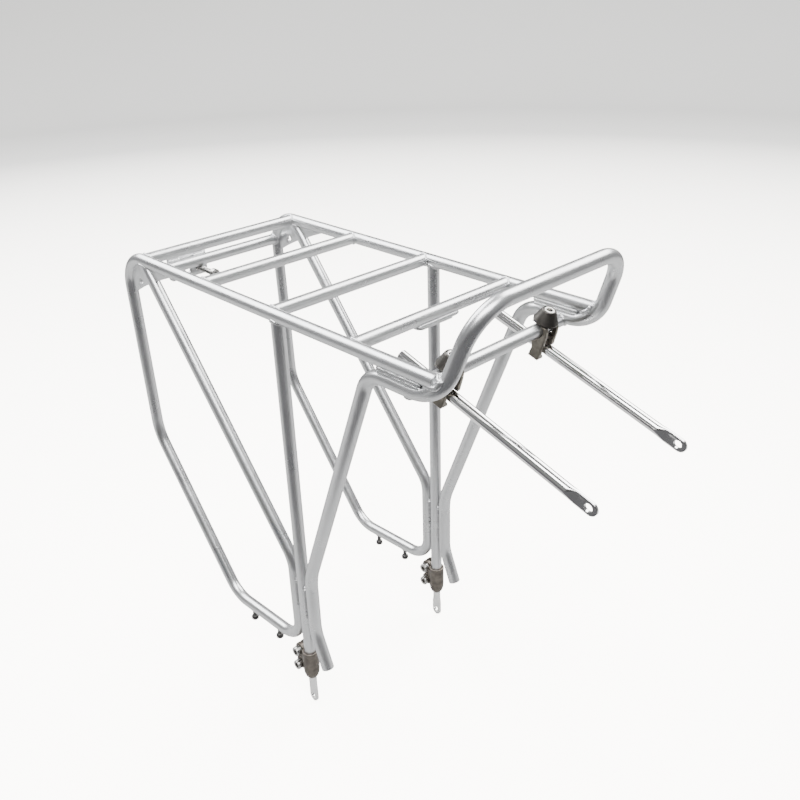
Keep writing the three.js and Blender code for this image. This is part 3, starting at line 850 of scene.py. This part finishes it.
def flattened(name, radius, flat_start, neck, hole_x, half_width, thickness, hole_r, ridge):
    """A rod along +X pressed flat at its end. The flat keeps a raised rim and a shallow valley."""
    rings = []
    count = 48
    tip = hole_x + half_width + 1.2
    stations = [0, 0.25, 1]
    stations += [flat_start * i / 10 for i in range(1, 10)]
    stations += [flat_start + neck * i / 14 for i in range(15)]
    flat_end = tip - half_width
    stations += [flat_start + neck + (flat_end - flat_start - neck) * i / 8 for i in range(1, 9)]
    stations += [flat_end + half_width * math.sin(math.radians(a)) for a in range(6, 90, 6)]
    for x in sorted(set(stations)):
        t = min(1, max(0, (x - flat_start) / neck))
        ease = t * t * (3 - 2 * t)
        wide = radius + (half_width - radius) * ease
        thick = radius + (thickness / 2 - radius) * ease
        if x > flat_end:
            wide = half_width * math.cos(math.asin(min(1, (x - flat_end) / half_width)))
        edge = 0.25 - x if x < 0.25 else 0
        ring = []
        for i in range(count):
            angle = TAU * i / count
            c, s = math.cos(angle), math.sin(angle)
            power = 1 - 0.55 * ease
            z = wide * math.copysign(abs(c) ** power, c)
            y = thick * math.copysign(abs(s) ** power, s)
            valley = 1 - ridge * ease * (1 - min(1, abs(z) / half_width) ** 2)
            ring.append(Vector((x, y * valley * (1 - edge / radius), z * (1 - edge / radius))))
        rings.append(ring)
    rings = [[Vector((0, 0, 0))]] + rings + [[Vector((tip - 0.01, 0, 0))]]
    body = new_object(name, *stitched(rings))
    tool = rod((hole_x, -12, 0), (hole_x, 12, 0), hole_r, 40)
    cut = body.modifiers.new("hole", "BOOLEAN")
    cut.object = tool
    cut.solver = "EXACT"
    applied(body)
    bpy.data.objects.remove(tool)
    rim = body.modifiers.new("rim", "BEVEL")
    rim.width = 0.25 * MM
    rim.segments = 2
    rim.limit_method = "ANGLE"
    rim.angle_limit = math.radians(50)
    return applied(body)


def make_feet():
    for side, sign in SIDES.items():
        length = node_box(f"foot_strut_{side}")[1].z
        foot = flattened(f"foot_rod_{side}", 3.45, length - 15.5, 7, length, 4.8, 3.1, SCREW_HOLE_R, 0.12)
        turn = Matrix.Translation((0, sign * HALF_WIDTH, length)) @ Matrix.Rotation(math.radians(90), 4, "Y")
        placed(foot, turn)
        finish_mesh(foot, STAINLESS, f"foot_{side}", [f"foot_strut_{side}"], 35)


# ---------------------------------------------------------------- stays and their clamps

# The stay's slope, its distance below the clamp's axis, its length behind it and its eyelet ahead.
STAY_SLOPE = math.radians(17.8)
STAY_DROP = 12.8
STAY_TAIL = 39
STAY_HOLE = 121


def clamp_frame(side):
    """The clamp's own frame: on the front lower tube's axis, +X along the stay."""
    y = middle(f"stay_{side}").y
    return Matrix.Translation((FRONT_LOWER.x, y, FRONT_LOWER.z)) @ Matrix.Rotation(STAY_SLOPE, 4, "Y")


def make_stay(side):
    length = STAY_TAIL + STAY_HOLE
    piece = flattened(f"stay_rod_{side}", 4, length - 17, 9, length, 5, 3, 2.9, 0.3)
    shift = Matrix.Translation((-STAY_TAIL, 0, -STAY_DROP))
    placed(piece, clamp_frame(side) @ shift)
    finish_mesh(piece, STAINLESS, f"stay_{side}", [f"stay_{side}"], 35)


def make_fork(side):
    foot_top = -(STAY_DROP + 4.3)
    long_cheek = [(-6.3, 5.2), (6.3, 5.2), (7.9, 3), (8.5, -1), (8.7, -9), (8.5, foot_top - 1),
                  (0.5, foot_top - 1), (-0.3, -11), (-5.4, -7.8), (-6.7, -5.5), (-7.3, 3)]
    short_cheek = [(x, max(z, -11.5)) for x, z in long_cheek]
    inside, outside = 4.35, 7.4
    solids = [prism(long_cheek, -outside, -inside),
              prism(short_cheek, inside, outside),
              rod((0, 0, 3.4), (0, 0, 8.3), 6.4, 48)]
    foot = [(-1.6, foot_top - 3), (-2.8, foot_top), (-4.5, foot_top), (-4.5, foot_top + 3),
            (-outside, foot_top + 3), (-8.6, foot_top - 3)]
    slab = prism(foot, -8.9, -0.1)
    placed(slab, Matrix.Rotation(math.radians(90), 4, "Z"))
    solids.append(slab)
    cutters = [rod((0, -20, 0), (0, 20, 0), TUBE_R + 0.2, 48),
               block((-20, -20, -4.9), (0, 20, 4.9)),
               rod((0, 0, 0), (0, 0, 20), 3.1, 40)]
    fork = casting(f"stay_clamp_body_{side}", solids, cutters, 0.3, 12)
    placed(fork, clamp_frame(side))
    finish_mesh(fork, FORK_CAST, f"clamp_{side}", [f"stay_clamp_fork_{side}"], 180)


def make_cap(side):
    bottom, top = 5.6, 15.6
    profile = [(bottom + 0.3, 6.85), (bottom, 7.2), (bottom, 8.5), (bottom + 0.3, 8.85),
               (bottom + 1.4, 8.9), (bottom + 1.9, 8.6), (top - 0.7, 5.25), (top - 0.25, 4.95),
               (top, 4.7), (top, 4.35), (top - 0.15, 4.2), (11.6, 4.15),
               (11.6, 3.2), (8.75, 3.2), (8.75, 6.85)]
    side_axis, up = Vector((1, 0, 0)), Vector((0, 1, 0))
    rings = [circle(Vector((0, 0, height)), side_axis, up, radius, 64) for height, radius in profile]
    cap = new_object(f"stay_clamp_cone_{side}", *stitched(rings, True))
    placed(cap, clamp_frame(side))
    finish_mesh(cap, DARK_CAST, f"clamp_{side}", [f"stay_clamp_cap_{side}"], 30)


def make_clamp_screw(side):
    piece = screw(f"stay_clamp_bolt_{side}", Vector((0, 0, 11.8)), Vector((0, 0, 1)), 3.95, 3.9, 2.9, 6.4)
    placed(piece, clamp_frame(side))
    finish_mesh(piece, SCREW, f"clamp_{side}", [f"stay_clamp_screw_{side}"])


def make_shim(side):
    outer, inner = STAY_DROP - 4.3, TUBE_R + 0.25
    half = math.radians(58)
    angles = [-math.pi / 2 - half + 2 * half * i / 24 for i in range(25)]
    outline = [(outer * math.cos(a), outer * math.sin(a)) for a in angles]
    outline += [(inner * math.cos(a), inner * math.sin(a)) for a in reversed(angles)]
    shim = prism(outline, -4, 4)
    rim = shim.modifiers.new("rim", "BEVEL")
    rim.width = 0.3 * MM
    rim.segments = 2
    rim.limit_method = "ANGLE"
    rim.angle_limit = math.radians(40)
    applied(shim)
    shim.name = f"stay_clamp_saddle_{side}"
    placed(shim, clamp_frame(side))
    finish_mesh(shim, CAST, f"clamp_{side}", [f"stay_clamp_shim_{side}"], 35)


# ---------------------------------------------------------------- stage

CAMERA_PLACE = Vector((468.8, -407.7, 585.4))
CAMERA_AZIMUTH = math.radians(46.49)
CAMERA_ELEVATION = math.radians(27.68)
CAMERA_ROLL = math.radians(-1.75)
CAMERA_LENS = 39.6
CAMERA_SHIFT = (-0.0009, 0.0016)
CARD_REACH = 2200


def make_camera():
    data = bpy.data.cameras.new("camera")
    data.lens = CAMERA_LENS
    data.sensor_width = 36
    data.clip_start = 0.01
    data.shift_x, data.shift_y = CAMERA_SHIFT
    camera = bpy.data.objects.new("camera", data)
    tilt = Matrix.Rotation(math.radians(90) - CAMERA_ELEVATION, 4, "X")
    level = Matrix.Rotation(CAMERA_AZIMUTH, 4, "Z") @ tilt
    roll = Matrix.Rotation(CAMERA_ROLL, 4, "Z")
    camera.matrix_world = Matrix.Translation(CAMERA_PLACE * MM) @ level @ roll
    bpy.context.scene.collection.objects.link(camera)
    bpy.context.scene.camera = camera


def make_floor():
    """A pale bowl: floor, one soft curve and a round wall. It glows white near the object and dimmer further
    out: a painted pool of light.
    """
    floor_z = cad_bounds[0][2] / MM - 0.2
    reach, bend, height = 3000, 600, 5000
    profile = [(reach, 0)]
    for degrees in range(5, 90, 5):
        angle = math.radians(degrees)
        profile.append((reach + bend * math.sin(angle), bend * (1 - math.cos(angle))))
    profile += [(reach + bend, bend), (reach + bend, height)]
    side, up = Vector((1, 0, 0)), Vector((0, 1, 0))
    rings = [[Vector((0, 0, floor_z))]]
    rings += [circle(Vector((0, 0, floor_z + z)), side, up, radius, 96) for radius, z in profile]
    sheet = new_object("floor", *stitched(rings))
    for polygon in sheet.data.polygons:
        polygon.use_smooth = True
    material, tree, shader = principled("pale_sheet", (0.93, 0.92, 0.90), 0, 0.7)
    grain = noise_node(tree, 3, 2)
    warm = tinted(tree, grain.outputs["Fac"], (0.92, 0.91, 0.885), (0.94, 0.93, 0.91))
    tree.links.new(warm, shader.inputs["Base Color"])
    place = tree.nodes.new("ShaderNodeTexCoord")
    distance = tree.nodes.new("ShaderNodeVectorMath")
    distance.operation = "LENGTH"
    tree.links.new(place.outputs["Object"], distance.inputs[0])
    # Painted glow: emission brightest within 0.3 m of the object and faded out by 2.5 m, a painted pool of
    # light on the sheet.
    painted_glow = tinted(tree, distance.outputs["Value"], (1, 0.965, 0.9), (0.062, 0.0625, 0.06), 0.3, 2.5)
    tree.links.new(painted_glow, shader.inputs["Emission Color"])
    shader.inputs["Emission Strength"].default_value = 8
    sheet.data.materials.append(material)
    # The sheet is hidden from reflections, diffuse light and shadows, so its painted glow shows to the camera
    # only.
    for kind in ("glossy", "diffuse", "shadow"):
        setattr(sheet, f"visible_{kind}", False)


def reflection_only_card(name, profile, color, painted_glow):
    """A card across the view, at the given distances towards the camera, seen only in the metal: a painted
    reflection, glowing by the given strength.
    """
    toward = Vector((math.sin(CAMERA_AZIMUTH), -math.cos(CAMERA_AZIMUTH), 0))
    across = Vector((-toward.y, toward.x, 0))
    vertices = [toward * distance + across * sideways + Vector((0, 0, z))
                for distance, z in profile for sideways in (-CARD_REACH, CARD_REACH)]
    faces = [(2 * i, 2 * i + 1, 2 * i + 3, 2 * i + 2) for i in range(len(profile) - 1)]
    card = new_object(name, vertices, faces)
    material, _, shader = principled(name, color, 0, 0.9)
    # The card's glow is painted light: it is no lamp and lights nothing.
    shader.inputs["Emission Color"].default_value = (1, 0.99, 0.97, 1)
    shader.inputs["Emission Strength"].default_value = painted_glow
    card.data.materials.append(material)
    # Hidden from the camera, diffuse light and shadows: the card shows only as a painted reflection.
    for kind in ("camera", "diffuse", "transmission", "volume_scatter", "shadow"):
        setattr(card, f"visible_{kind}", False)


def make_reflection_cards():
    """A faintly glowing grey card close round the feet and a dark card towards the camera, both seen only in
    the metal: a painted reflection, and painted shade that gives the metal its grey flanks.
    """
    card_z = cad_bounds[0][2] / MM + 1
    edge, wall = 230, 2700
    # Painted reflection: a grey card with a faint glow round the feet, seen in the metal only.
    reflection_only_card("bright_card", [(-900, card_z), (edge, card_z)], (0.3, 0.3, 0.3), 0.2)
    # Painted shade: a near-black card from the feet towards the camera and up a wall, seen in the metal only,
    # darkens the tubes' flanks.
    shade = [(edge, card_z), (wall - 300, card_z), (wall, 300), (wall, 1300)]
    reflection_only_card("dark_card", shade, (0.03, 0.03, 0.032), 0)


def area_light(name, place, target, width, height, power, color=(1, 1, 1)):
    data = bpy.data.lights.new(name, "AREA")
    data.shape = "RECTANGLE"
    data.size = width
    data.size_y = height
    data.energy = power
    data.color = color
    light = bpy.data.objects.new(name, data)
    place, target = Vector(place), Vector(target)
    light.location = place
    light.rotation_euler = (target - place).to_track_quat("-Z", "Y").to_euler()
    light.visible_camera = False
    bpy.context.scene.collection.objects.link(light)


def make_lights():
    target = (0, 0, 0.2)
    area_light("front_softbox", (0.75, -0.7, 2.0), target, 2.0, 1.1, 85)
    area_light("left_softbox", (-1.6, -0.2, 1.9), target, 1.7, 1.7, 100, (0.98, 0.99, 1))
    area_light("right_softbox", (0.2, 1.55, 2.0), target, 1.7, 1.7, 100, (1, 0.995, 0.98))
    world = bpy.data.worlds.new("world")
    world.use_nodes = True
    background = world.node_tree.nodes["Background"]
    background.inputs["Color"].default_value = (0.98, 0.985, 1, 1)
    background.inputs["Strength"].default_value = 0.3
    bpy.context.scene.world = world


make_camera()
make_floor()
make_reflection_cards()
make_lights()
make_tubes()
weld_frame()
weld_legs()
tie_strips()
make_gussets()
make_brackets()
make_screws()
make_leg_clamps()
make_feet()
for side in SIDES:
    make_stay(side)
    make_fork(side)
    make_cap(side)
    make_clamp_screw(side)
    make_shim(side)
